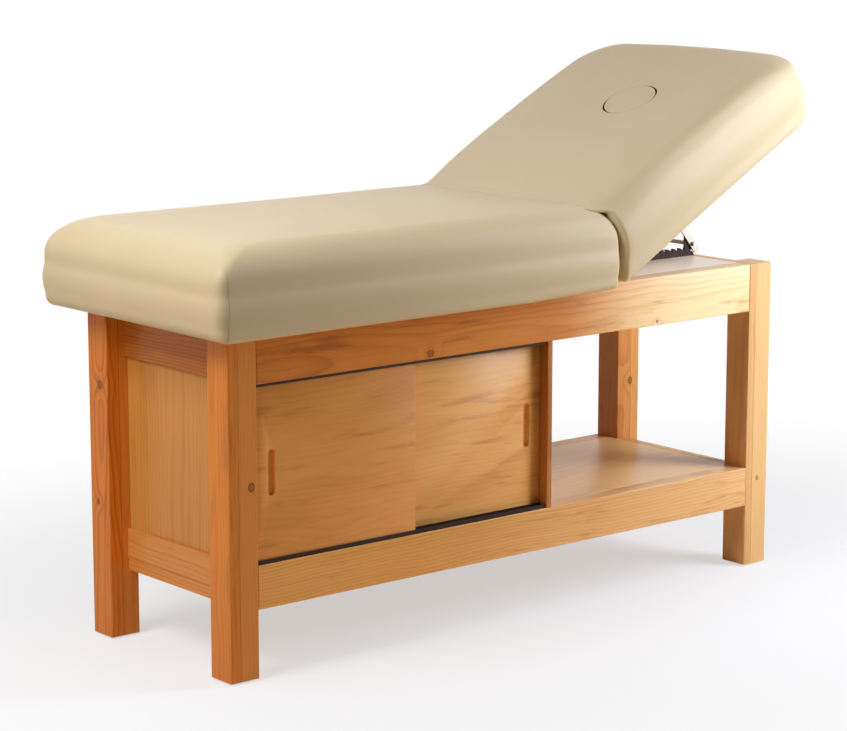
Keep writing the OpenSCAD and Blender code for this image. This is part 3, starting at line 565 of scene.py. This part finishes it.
# Painted shade: a dark lining on the walls of the face hole and its plug stands in for the shadow in
# the gap round the plug
gapShadeMaterial = plastic("gapShadeLining", (52, 30, 18), 0.7)
footSeams = [(-47, -72, 90), (-47, 587, -90)]
footCoverMaterial = coatedCover("creamFootCover", footSeams)
rackTone = (44, 20, 10)
leafTone = (190, 188, 182)
pinTone = (180, 178, 174)
armTone = (172, 160, 146)
metals = {
    "upper_door_track": plastic("upperTrackBrown", (44, 24, 14), 0.45),
    "lower_door_track": plastic("lowerTrackBrown", (44, 24, 14), 0.45),
    "foot_glides": plastic("glideBrown", (40, 28, 22), 0.5),
    "rack_front": darkPaint("rackFrontPaint", rackTone),
    "rack_back": darkPaint("rackBackPaint", rackTone),
    "prop_web_plates": darkPaint("webPlatePaint", rackTone),
    "prop_bracket": darkPaint("bracketPaint", (40, 32, 28)),
    "hinge_leaves_fixed": steel("fixedLeafSteel", leafTone, 0.34, "Y"),
    "hinge_leaves_moving": steel("movingLeafSteel", leafTone, 0.34, "Y"),
    "hinge_pins": steel("hingePinSteel", pinTone, 0.3, "Y"),
    "prop_pivot_pin": steel("pivotPinSteel", pinTone, 0.3, "Y"),
    "prop_arm_front": steel("armFrontSteel", armTone, 0.4, "Z"),
    "prop_arm_back": steel("armBackSteel", armTone, 0.4, "Z"),
    "prop_foot_rod": steel("footRodSteel", pinTone, 0.3, "Y"),
}
print("materials made")


def setMaterial(thing, material):
    thing.data.materials.clear()
    thing.data.materials.append(material)


def smooth(mesh):
    mesh.polygons.foreach_set("use_smooth", [True] * len(mesh.polygons))


def bodyOf(name):
    bodies = frame["record"]["behaviour"]["bodies"]
    return next(body for body, members in bodies.items() if name in members)


# How far the edges of the woodwork are rounded, in millimetres
easeWidths = {
    "front_top_rail": 2.2, "front_lower_rail": 2.2, "back_top_rail": 2.2, "back_lower_rail": 2.2,
    "foot_top_rail": 2.0, "head_top_rail": 2.0, "head_lower_rail": 2.0,
    "left_door": 1.4, "right_door": 1.4, "bottom_shelf": 0.8, "head_deck": 0.8,
    "partition_panel": 1.0,
}
easeSpec = {"merge": 1e-6, "flat": 0.5, "sharp": 40, "segments": 3}  # metres and degrees


# A copy of a wooden piece with rounded edges takes the sharp one's place
def ease(name, width):
    mesh = nodes[name].data.copy()
    work = bmesh.new()
    work.from_mesh(mesh)
    bmesh.ops.remove_doubles(work, verts=work.verts, dist=easeSpec["merge"])
    bmesh.ops.dissolve_limit(work, angle_limit=math.radians(easeSpec["flat"]), verts=work.verts,
                             edges=work.edges)
    work.to_mesh(mesh)
    work.free()
    piece = bpy.data.objects.new(name + ".eased", mesh)
    scene.collection.objects.link(piece)
    modifier = piece.modifiers.new("ease", "BEVEL")
    modifier.width = width * millimetre
    modifier.segments = easeSpec["segments"]
    modifier.limit_method = "ANGLE"
    modifier.angle_limit = math.radians(easeSpec["sharp"])
    modifier.harden_normals = True
    smooth(mesh)
    graph = bpy.context.evaluated_depsgraph_get()
    done = bpy.data.meshes.new_from_object(piece.evaluated_get(graph))
    piece.modifiers.clear()
    piece.data = done
    setMaterial(piece, woods[name])
    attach(piece, bodyOf(name))
    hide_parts(name)
    name + "_wood"


for name, material in list(woods.items()) + list(metals.items()):
    setMaterial(nodes[name], material)
for name, width in easeWidths.items():
    ease(name, width)
print("eased woodwork made")


# Outline of a cushion at one height: rounded corners, its sides and foot end drawn in and its
# head end bowed
def ringOutline(foot, head, half, footCorner, headCorner, draw, bow, arcs, sides):
    def arc(x, y, radius, start):
        turn = np.radians(start + 90 * np.arange(arcs + 1) / arcs)
        return np.stack([x + radius * np.cos(turn), y + radius * np.sin(turn)], 1)

    def run(first, last, inward, depth):
        share = (np.arange(sides) + 1)[:, None] / (sides + 1)
        return first + (last - first) * share + np.array(inward) * depth * np.sin(np.pi * share)

    headBack = arc(head - headCorner, half - headCorner, headCorner, 0)
    footBack = arc(foot + footCorner, half - footCorner, footCorner, 90)
    footFront = arc(foot + footCorner, -half + footCorner, footCorner, 180)
    headFront = arc(head - headCorner, -half + headCorner, headCorner, 270)
    return np.concatenate([
        headBack, run(headBack[-1], footBack[0], (0, -1), draw),
        footBack, run(footBack[-1], footFront[0], (1, 0), draw / 2),
        footFront, run(footFront[-1], headFront[0], (0, 1), draw),
        headFront, run(headFront[-1], headBack[0], (1, 0), bow)])


def atHeight(flat, z):
    return np.concatenate([flat, np.full((len(flat), 1), z)], 1)


# How far a rounded top edge has drawn in at a height
def drawnIn(z, top, depth, height):
    share = unit((z - top + height) / height)
    return depth * (1 - math.sqrt(1 - share ** 2))


ringSteps = {"bottom": 8, "wall": 10, "edge": 18, "crown": 21}


# Rings of points from the underside up over the side to the crown, in millimetres
def cushionRings(spec):
    top = spec["thick"]
    flareFrom, flareOver = spec["flareRun"]
    rings = []

    def ring(undercut, swell, z):
        footIn = drawnIn(z, top, *spec["footEnd"])
        headIn = drawnIn(z, top, *spec["headEnd"])
        sideIn = drawnIn(z, top, *spec["side"])
        footOut, headOut = [swell * share for share in spec["swellEnds"]]
        flare = spec["flare"] * unit((z - flareFrom) / flareOver)
        rings.append(atHeight(ringOutline(
            spec["foot"] - footOut + footIn + undercut[0],
            spec["head"] + headOut - headIn - undercut[1],
            spec["half"] + swell - sideIn - undercut[2] + flare,
            spec["footCorner"] - undercut[0] * 0.5 + spec["grow"][0] * min(footIn, sideIn),
            spec["headCorner"] - undercut[1] * 0.5 + spec["grow"][1] * min(headIn, sideIn),
            spec["draw"], spec["bow"], spec["arcs"], spec["sides"]), z))

    tall = max(spec["bottoms"])
    for i in range(ringSteps["bottom"] + 1):
        z = tall * (1 - math.cos(math.radians(90 * i / ringSteps["bottom"])))
        ring([r * (1 - math.sqrt(1 - max(0.0, r - z) ** 2 / r ** 2)) for r in spec["bottoms"]],
             0, z)
    edge = max(spec["footEnd"][1], spec["headEnd"][1], spec["side"][1])
    wallTop = top - edge
    for i in range(1, ringSteps["wall"]):
        share = i / ringSteps["wall"]
        ring([0, 0, 0], spec["swell"] * math.sin(math.pi * share), tall + (wallTop - tall) * share)
    for i in range(ringSteps["edge"] + 1):
        ring([0, 0, 0], 0, wallTop + edge * math.sin(math.radians(90 * i / ringSteps["edge"])))
    rim = rings[-1][:, :2]
    for share in np.linspace(1, 0, ringSteps["crown"] + 1)[1:-1]:
        if spec["hole"]:
            x, radius = spec["hole"]
            angles = np.arctan2(rim[:, 1], rim[:, 0] - x)
            inner = np.stack([x + radius * np.cos(angles), radius * np.sin(angles)], 1)
        else:
            inner = np.array([(spec["foot"] + spec["head"]) / 2, 0.0])
        z = top + spec["crown"] * (1 - share ** 2)
        rings.append(atHeight(inner + (rim - inner) * share, z))
    return rings


def meshFromRings(name, rings, closeBottom, closeTop):
    count = len(rings[0])
    verts = [tuple(p) for r in rings for p in r]
    faces = []
    for i in range(len(rings) - 1):
        low, high = i * count, (i + 1) * count
        for k in range(count):
            after = (k + 1) % count
            faces.append((low + k, low + after, high + after, high + k))
    if closeBottom:
        verts.append(tuple(np.mean(rings[0], 0)))
        faces += [(len(verts) - 1, (k + 1) % count, k) for k in range(count)]
    if closeTop:
        middle = np.mean(rings[-1], 0)
        middle[2] = closeTop
        verts.append(tuple(middle))
        base = (len(rings) - 1) * count
        faces += [(len(verts) - 1, base + k, base + (k + 1) % count) for k in range(count)]
    mesh = bpy.data.meshes.new(name)
    mesh.from_pydata(verts, [], faces)
    smooth(mesh)
    return mesh


clothSettings = {
    "quality": 6, "mass": 0.4, "tension_stiffness": 40, "compression_stiffness": 40,
    "shear_stiffness": 20, "bending_stiffness": 3, "use_pressure": True,
    "uniform_pressure_force": 2.5, "vertex_group_mass": "held", "pin_stiffness": 1,
}
stuffing = {"frames": 16, "cap": 0.0035, "evenings": 40}


# Blows a cover out over its foam with a short cloth run. Each point keeps near its start, and
# the moves are evened out over their neighbours. A point with a pin of 1 stays where it is
def stuff(piece, pins):
    start = np.array([v.co for v in piece.data.vertices])
    group = piece.vertex_groups.new(name="held")
    for index, weight in enumerate(pins):
        if weight > 0:
            group.add([index], float(weight), "REPLACE")
    cloth = piece.modifiers.new("stuffing", "CLOTH")
    for label, value in clothSettings.items():
        setattr(cloth.settings, label, value)
    cloth.settings.effector_weights.gravity = 0
    cloth.collision_settings.use_collision = False
    cloth.collision_settings.use_self_collision = False
    cloth.point_cache.frame_start = 1
    cloth.point_cache.frame_end = stuffing["frames"]
    for step in range(1, stuffing["frames"] + 1):
        scene.frame_set(step)
    graph = bpy.context.evaluated_depsgraph_get()
    done = piece.evaluated_get(graph).to_mesh()
    moved = np.array([v.co for v in done.vertices])
    piece.evaluated_get(graph).to_mesh_clear()
    outward = np.array([v.normal for v in piece.data.vertices])
    pins = np.array(pins)[:, None]
    length = ((moved - start) * outward).sum(1, keepdims=True)
    length = stuffing["cap"] * np.tanh(np.maximum(length, 0) / stuffing["cap"]) * (1 - pins)
    edges = np.array([e.vertices for e in piece.data.edges])
    near = np.bincount(edges.ravel(), minlength=len(start))[:, None]
    for evening in range(stuffing["evenings"]):
        total = np.zeros_like(length)
        np.add.at(total, edges[:, 0], length[edges[:, 1]])
        np.add.at(total, edges[:, 1], length[edges[:, 0]])
        length = total / near * (1 - pins ** 4)
    piece.modifiers.clear()
    piece.vertex_groups.clear()
    for vert, at in zip(piece.data.vertices, start + outward * length):
        vert.co = at
    scene.frame_set(1)
    print(piece.name, "stuffed, mean move", float(length.mean()), "largest", float(length.max()))


pinFade = 6  # rings over which the pins come back at the end


# Pins fade out from ring low to ring high, and where last is set they hold the last rings
def pinsFor(total, count, low, high, last):
    ring = np.arange(total) / count
    held = np.clip((high - ring) / (high - low), 0, 1)
    if last:
        back = (ring - total / count + last + pinFade) / pinFade
        held = np.maximum(held, np.clip(back, 0, 1))
    return held


# Two ends of a slanted band between the frame and the back section, along the fold where
# the two covers meet
foldStart = place(919, middleY, 868)
foldEnd = place(980.6, middleY, 896.8)

# Foot cushion, in millimetres along the bed, across it and up from the top of the frame. An
# edge is (how far it draws in, from how far below the top), and an outline is (foot end, head
# end, half width, foot corners, head corners, draw, bow)
footSpec = {
    "foot": -68, "head": 1019, "half": 329.5, "footCorner": 22, "headCorner": 16,
    "grow": (0.5, 0.2), "draw": 3, "bow": 0, "thick": 182,
    "footEnd": (94, 77), "headEnd": (66, 96), "side": (66, 66),
    "bottoms": (26, 8, 12), "swell": 3.5, "swellEnds": (1.2, 0), "crown": 9, "hole": None,
    "arcs": 20, "sides": 44, "flare": 0, "flareRun": (40, 90),
    "board": (-30, 983, 295, 20, 10, 3, -1.5),
    "sag": 8, "sagWidth": 55, "sagEnd": 260, "sagHeight": 70, "pins": (2, 10, 0),
}


# The edge that overhangs the frame hangs a little below its top, less so near the hinge
def sagging(x, y, z):
    out = unit(max(-x, abs(y) - middleY) / footSpec["sagWidth"])
    near = unit((footSpec["head"] - x) / footSpec["sagEnd"])
    low = max(0, 1 - z / footSpec["sagHeight"]) ** 1.5
    return place(x, y + middleY, z - footSpec["sag"] * out * near * low + frameTop)


def makeFootCushion():
    rings = cushionRings(footSpec)
    under = ringOutline(*footSpec["board"], footSpec["arcs"], footSpec["sides"])
    mesh = meshFromRings("foot_cushion_cover", [atHeight(under, 0.0)] + rings, True,
                         footSpec["thick"] + footSpec["crown"])
    for vert in mesh.vertices:
        vert.co = sagging(*vert.co)
    piece = bpy.data.objects.new("foot_cushion_cover", mesh)
    scene.collection.objects.link(piece)
    stuff(piece, pinsFor(len(mesh.vertices), len(rings[0]), *footSpec["pins"]))
    setMaterial(piece, footCoverMaterial)
    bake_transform(piece)
    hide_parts("foot_cushion")
    return piece


# Back cushion, in millimetres along the back section from the hinge axis, across it and up
# from its board, with the foot cushion's kinds of values. The hole is (where, radius of its
# rounded rim), and the rim's rings are (out from the wall, down from the top). bulgeRun is
# (start, end) and flareRun (start, length)
backSpec = {
    "foot": 14, "head": 733, "half": 329.5, "footCorner": 9, "headCorner": 77,
    "grow": (0, 1.2), "draw": 3, "bow": 6, "thick": 170,
    "footEnd": (3, 3), "headEnd": (44, 50), "side": (38, 38),
    "bottoms": (10, 40, 14), "swell": 3.5, "swellEnds": (0, 1), "crown": 2, "hole": (475, 71),
    "holeWall": 67, "arcs": 20, "sides": 34, "flare": 8, "flareRun": (40, 90),
    "rim": ((1.6, 0), (0.9, 0.15), (0.3, 0.6), (0, 1.6), (0, 30)), "holeFoot": 42,
    "pocket": (48, 698, 299.5, 14, 66, 3, 0), "pocketTop": 40.5,
    "angle": 29.5, "hinge": (1026.0, 730.3), "lift": 2.0, "lean": 330.0, "leanTop": 176,
    "press": 50, "pressFrom": 50, "pressOver": 110, "pressPower": 1.64, "pressReach": 300,
    "lip": 68, "lipFrom": 150, "lipOver": 22,
    "bulge": 14, "bulgeRun": (-200, 720), "bulgeRound": 260, "dome": 4, "tip": 0.06, "sink": 4,
    "fall": 5, "fallFrom": 420, "fallOver": 280, "riseFrom": 90, "riseOver": 70, "joined": 220,
    "pins": (3, 11, 8),
}
holeAt = backSpec["hole"][0]
holeRadius = backSpec["holeWall"]
backTop = backSpec["thick"] + backSpec["crown"]
backAngle = math.radians(backSpec["angle"])


# The back cushion's lower end stands upright and presses over the rounded shoulder of the
# foot cushion, and its top bulges a little along its length
def shapeBack(x, y, z):
    spec = backSpec
    near = max(0.0, 1 - x / spec["pressReach"])
    high = max(0.0, z - spec["pressFrom"]) / spec["pressOver"]
    press = spec["press"] * high ** spec["pressPower"] * near
    press += spec["lip"] * unit((z - spec["lipFrom"]) / spec["lipOver"]) ** 2 * near ** 3
    away = unit((math.hypot(x - holeAt, y) - holeRadius) / (spec["bulgeRound"] - holeRadius))
    away = away ** 2 * (3 - 2 * away)
    first, last = spec["bulgeRun"]
    rise = spec["bulge"] * math.sin(math.pi * unit((x - first) / (last - first))) * away
    rise += (spec["tip"] * (holeAt - x) - spec["sink"]) * (1 - away)
    rise += spec["dome"] * (1 - (y / spec["half"]) ** 2) * away
    rise -= spec["fall"] * unit((x - spec["fallFrom"]) / spec["fallOver"]) ** 2
    joined = max(0.0, 1 - max(x, 0) / spec["joined"]) ** 2
    footSide = footSpec["half"] - drawnIn(z, spec["thick"], *footSpec["side"])
    backSide = spec["half"] - drawnIn(z, spec["thick"], *spec["side"])
    y = y * (1 + (footSide / backSide - 1) * joined)
    z = z + rise * unit((z - spec["riseFrom"]) / spec["riseOver"]) ** 2
    lean = min(z, spec["leanTop"]) * math.tan(backAngle) * max(0, 1 - x / spec["lean"])
    return x + lean - press, y, z


# From the back section's own millimetres to the shared frame
def onBack(x, y, z):
    hingeX, hingeZ = backSpec["hinge"]
    z = z + backSpec["lift"]
    return place(hingeX + x * math.cos(backAngle) - z * math.sin(backAngle), y + middleY,
                 hingeZ + x * math.sin(backAngle) + z * math.cos(backAngle))


# Lengths in metres. A side is where the other cover's normal is level: each pair gives where
# that starts and over how much of the normal it grows
fold = {
    "gap": 0.0005, "sunk": 0.001, "fillet": 0.03, "least": 1e-5, "reach": 0.08,
    "sideways": (0.8, 0.13), "level": (0.5, 0.2), "upward": (-0.2, 0.4),
}


# Moves a cover's points that lie inside another one out to its surface. On top the two meet in
# a soft fold and the cover's edge sinks in a little; down the sides a small gap stays open
def pressOver(piece, other):
    tree = BVHTree.FromPolygons([v.co for v in other.data.vertices],
                                [p.vertices for p in other.data.polygons])
    moved = 0
    outward, outwardOver = fold["sideways"]
    level, levelOver = fold["level"]
    upFrom, upOver = fold["upward"]
    upward = [v.normal.z for v in piece.data.vertices]
    for vert, up in zip(piece.data.vertices, upward):
        found, normal = tree.find_nearest(vert.co, fold["reach"])[:2]
        if found is None:
            continue
        deep = (vert.co - found).dot(normal)
        side = unit(max((abs(normal.y) - outward) / outwardOver, (level - normal.z) / levelOver))
        reach = fold["fillet"] * (1 - side) * unit((up - upFrom) / upOver) + fold["least"]
        least = fold["gap"] * side - fold["sunk"] * (1 - side) * (1 if up > 0 else 2)
        wanted = max(deep, least)
        if abs(deep - least) < reach:
            wanted = least + (deep - least + reach) ** 2 / (4 * reach)
        if wanted != deep:
            vert.co = vert.co + normal * (wanted - deep)
            moved += 1
    print(piece.name, "points pressed over", other.name, moved)


def makeBackCushion(footPiece):
    rings = cushionRings(backSpec)
    rim = rings[-1]
    angles = np.arctan2(rim[:, 1], rim[:, 0] - holeAt)

    def circle(radius, z):
        flat = [holeAt + radius * np.cos(angles), radius * np.sin(angles)]
        return atHeight(np.stack(flat, 1), z)

    lip = [circle(holeRadius + out, backTop - down) for out, down in backSpec["rim"]]
    lip.append(circle(holeRadius, backSpec["holeFoot"]))
    pocket = ringOutline(*backSpec["pocket"], backSpec["arcs"], backSpec["sides"])
    under = [atHeight(pocket, backSpec["pocketTop"]), atHeight(pocket, 0.0)]
    allRings = under + rings + lip
    mesh = meshFromRings("back_cushion_cover", allRings, False, None)
    count = len(rim)
    last = (len(allRings) - 1) * count
    work = bmesh.new()
    work.from_mesh(mesh)
    work.verts.ensure_lookup_table()
    for k in range(count):  # the hole's lower end joins the top of the board's pocket
        after = (k + 1) % count
        work.faces.new([work.verts[i] for i in (last + k, last + after, after, k)])
    work.to_mesh(mesh)
    work.free()
    smooth(mesh)
    for index, vert in enumerate(mesh.vertices):
        pocketed = index < len(under) * count
        vert.co = onBack(*vert.co) if pocketed else onBack(*shapeBack(*vert.co))
    piece = bpy.data.objects.new("back_cushion_cover", mesh)
    scene.collection.objects.link(piece)
    stuff(piece, pinsFor(len(mesh.vertices), count, *backSpec["pins"]))
    pressOver(piece, footPiece)
    setMaterial(piece, coverMaterial)
    piece.data.materials.append(gapShadeMaterial)
    # Painted shade: the hole's wall takes the dark lining
    for face in mesh.polygons[-3 * count:]:  # the hole's wall
        face.material_index = 1
    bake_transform(piece)
    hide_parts("back_cushion")


# Face hole plug, in the back section's millimetres. Its gap opens at two places
plugSpec = {
    "radius": holeRadius - 1.0, "count": 144, "crown": 0.6, "round": 2, "narrow": 0.045,
    "narrowTurn": 42, "bottom": ((3.5, 41), (1.5, 41.3), (0.4, 43), (0, 46)),
    "wall": (70, 100, 130), "roundSteps": 8, "topSteps": 9,
}


def makePlug():
    spec = plugSpec
    wide, soft, count = spec["radius"], spec["round"], spec["count"]
    turn = 2 * np.pi * np.arange(count) / count
    narrow = 1 - spec["narrow"] * np.abs(np.cos(turn + math.radians(spec["narrowTurn"]))) ** 4

    def circle(radius, z):
        flat = [holeAt + radius * narrow * np.cos(turn), radius * narrow * np.sin(turn)]
        return atHeight(np.stack(flat, 1), z)

    rings = [circle(wide - inset, z) for inset, z in spec["bottom"]]
    rings += [circle(wide, z) for z in spec["wall"] + (backTop - soft,)]
    rings += [circle(wide - soft * (1 - math.cos(a)), backTop - soft + soft * math.sin(a))
              for a in np.radians(np.linspace(10, 90, spec["roundSteps"]))]
    rings += [circle((wide - soft) * s, backTop + spec["crown"] * (1 - s * s))
              for s in np.linspace(0.9, 0.1, spec["topSteps"])]
    mesh = meshFromRings("face_hole_plug_cover", rings, True, backTop + spec["crown"])
    for vert in mesh.vertices:
        vert.co = onBack(*shapeBack(*vert.co))
    piece = bpy.data.objects.new("face_hole_plug_cover", mesh)
    scene.collection.objects.link(piece)
    setMaterial(piece, coverMaterial)
    piece.data.materials.append(gapShadeMaterial)
    # Painted shade: the plug's wall takes the dark lining
    for face in mesh.polygons[3 * count:7 * count]:  # the plug's wall
        face.material_index = 1
    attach(piece, "plug")
    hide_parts("face_hole_plug")


makeBackCushion(makeFootCushion())
makePlug()
print("cushions made")

# Floor: white to the camera, with the bed's shadow, and warm where it lights the bed from below
floorSpec = {
    "half": 30, "finish": {"Roughness": 0.9, "Specular IOR Level": 0.1},
    "seen": (0.9, 0.9, 0.9, 1.0), "below": (0.9, 0.72, 0.48, 1.0),
    "glowFrom": 0.3, "glowTo": 2.0, "glowNear": 0.55, "glowGrow": 0.45, "stretch": 0.6,
}
white = (1, 1, 1, 1)
half = floorSpec["half"]
floorMesh = bpy.data.meshes.new("floor")
floorMesh.from_pydata([(-half, -half, 0), (half, -half, 0), (half, half, 0), (-half, half, 0)],
                      [], [(0, 1, 2, 3)])
floor = bpy.data.objects.new("floor", floorMesh)
scene.collection.objects.link(floor)


floorSurface = Surface("paleFloor", floorSpec["finish"])
floorX, floorY = floorSurface.axes()[:2]
floorReach = (floorX * floorX * floorSpec["stretch"] + floorY * floorY).math("SQRT")
floorSeen = floorSurface.seenBy("Is Glossy Ray")
floorSurface.use("Base Color", floorSurface.blendColour(
    floorSeen, floorSpec["below"], floorSpec["seen"]))
glowShare = floorReach.step(floorSpec["glowFrom"], floorSpec["glowTo"])
glowShare = glowShare * floorSpec["glowGrow"] + floorSpec["glowNear"]
floorGlow = floorSurface.node("ShaderNodeEmission", None, {"Color": white, "Strength": 1.0})
floorMix = floorSurface.node("ShaderNodeMixShader", None, {
    0: floorSeen * glowShare, 1: floorSurface.shader.outputs[0], 2: floorGlow.outputs[0]})
floorOut = floorSurface.tree.nodes["Material Output"]
floorSurface.feed(floorOut.inputs["Surface"], floorMix.outputs[0])
setMaterial(floor, floorSurface.material)

# Background: white to the camera, faint as a light
worldSpec = {"light": 0.03, "seen": 1.0}
world = bpy.data.worlds.new("studio")
scene.world = world
world.use_nodes = True
worldGraph = Graph(world.node_tree)
worldSeen = worldGraph.seenBy("Is Glossy Ray", "Is Transmission Ray")
strength = worldGraph.node("ShaderNodeMix", {"data_type": "FLOAT"}, {
    0: worldSeen, 2: worldSpec["light"], 3: worldSpec["seen"]})
background = world.node_tree.nodes["Background"]
worldGraph.feed(background.inputs["Strength"], strength.outputs[0])
worldGraph.feed(background.inputs["Color"], white)
print("stage made")
